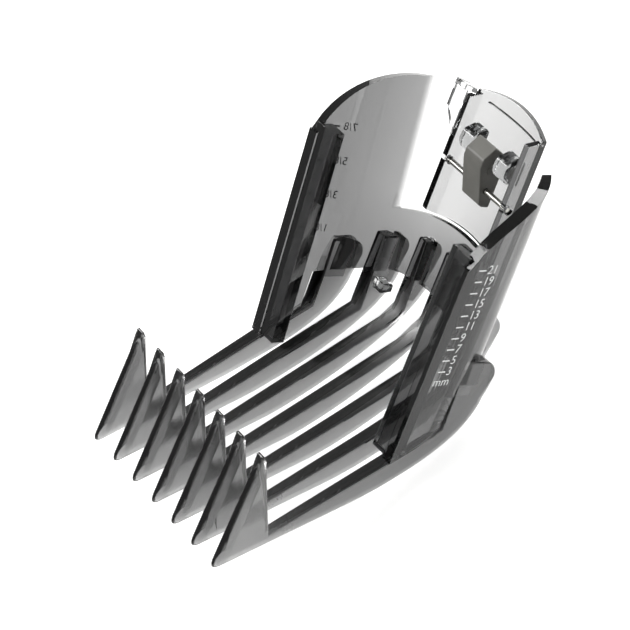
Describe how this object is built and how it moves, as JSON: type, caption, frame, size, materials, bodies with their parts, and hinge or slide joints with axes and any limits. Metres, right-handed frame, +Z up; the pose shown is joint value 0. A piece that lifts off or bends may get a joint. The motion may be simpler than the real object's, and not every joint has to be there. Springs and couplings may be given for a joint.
{
  "type": "clipper guide comb",
  "caption": "Adjustable guide comb of a hair clipper: clear smoky sleeve, toothed ribs with rear fins, and a sprung length selector with a grey latch block.",
  "frame": {"origin": "middle of the footprint of the bounding box, on the surface that the comb rests on", "axes": "+Z up; +Y to the back of the sleeve and its fins, -Y to the teeth; X across, with the scale in millimetres on the +X wall. The slide leans back 46 degrees from +Z."},
  "size_m": [0.049, 0.09, 0.0351],
  "materials": {
    "smoky_polycarbonate": "transparent, polished, smoky grey",
    "light_smoky_polycarbonate": "transparent, polished, light smoky grey",
    "clear_polycarbonate": "transparent, polished, nearly colourless",
    "latch_grey": "opaque mid-grey, fine moulded surface",
    "pin_steel": "drawn wire, plain"
  },
  "bodies": {
    "comb": {"sleeve_shell": "smoky_polycarbonate", "guide_rail_left": "smoky_polycarbonate", "guide_rail_right": "smoky_polycarbonate", "rim_lug_left": "clear_polycarbonate", "rim_lug_right": "clear_polycarbonate", "comb_rib_1": "smoky_polycarbonate", "comb_rib_2": "smoky_polycarbonate", "comb_rib_3": "smoky_polycarbonate", "comb_rib_4": "smoky_polycarbonate", "comb_rib_5": "smoky_polycarbonate", "comb_rib_6": "smoky_polycarbonate", "comb_rib_7": "smoky_polycarbonate"},
    "selector": {"selector_arm": "light_smoky_polycarbonate", "hook_ear": "clear_polycarbonate", "arm_flange_left": "light_smoky_polycarbonate", "arm_flange_right": "light_smoky_polycarbonate", "latch_cheek_left": "clear_polycarbonate", "latch_cheek_right": "clear_polycarbonate", "latch_pin": "pin_steel"},
    "latch": {"latch_block": "latch_grey"}
  },
  "joints": [
    {"name": "selector_flex", "type": "hinge", "parent": "comb", "child": "selector", "pos_m": [0, 0.02533, 0.01312], "axis": [1, 0, 0], "range_deg": [-6, 0], "stiffness_Nm_per_rad": 0.1},
    {"name": "latch_rock", "type": "hinge", "parent": "selector", "child": "latch", "pos_m": [0, 0.03128, 0.02164], "axis": [1, 0, 0], "range_deg": [-1.5, 6], "stiffness_Nm_per_rad": 0.01}
  ]
}
